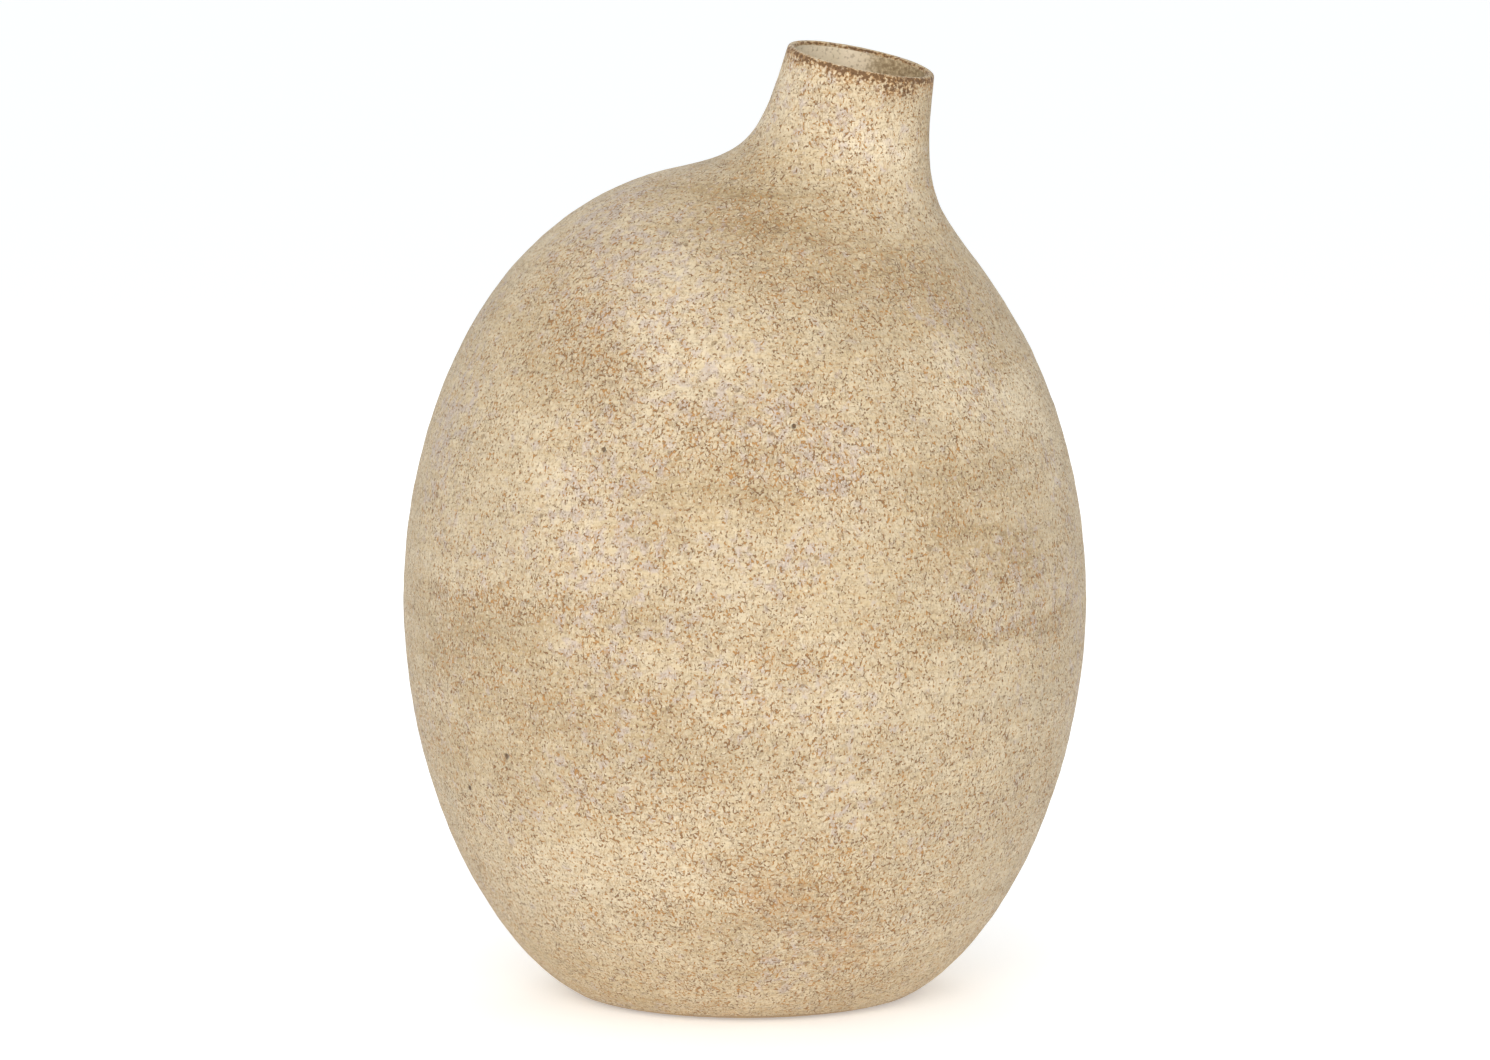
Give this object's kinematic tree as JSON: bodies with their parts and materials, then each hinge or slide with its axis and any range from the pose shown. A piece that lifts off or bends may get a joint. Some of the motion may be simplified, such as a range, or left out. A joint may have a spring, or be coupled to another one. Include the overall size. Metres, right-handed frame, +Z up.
{
  "type": "pottery vase",
  "caption": "Egg-shaped stoneware vase with a short off-centre neck that leans outwards, open at the lip and hollow down to a flat clay floor with felt pads.",
  "frame": {"origin": "centre of the footprint, on the surface that the vase stands on", "axes": "+Z up, +X towards the neck, whose axis lies in the XZ plane and leans towards +X"},
  "size_m": [0.28, 0.28, 0.391],
  "materials": {
    "stoneware": "matte crackled slip with brown and ochre washes",
    "felt": "pressed felt"
  },
  "bodies": {
    "root": {"base_slab": "stoneware", "lower_bowl": "stoneware", "upper_dome": "stoneware", "neck_collar": "stoneware", "felt_pad_1": "felt", "felt_pad_2": "felt", "felt_pad_3": "felt", "felt_pad_4": "felt"}
  },
  "joints": []
}
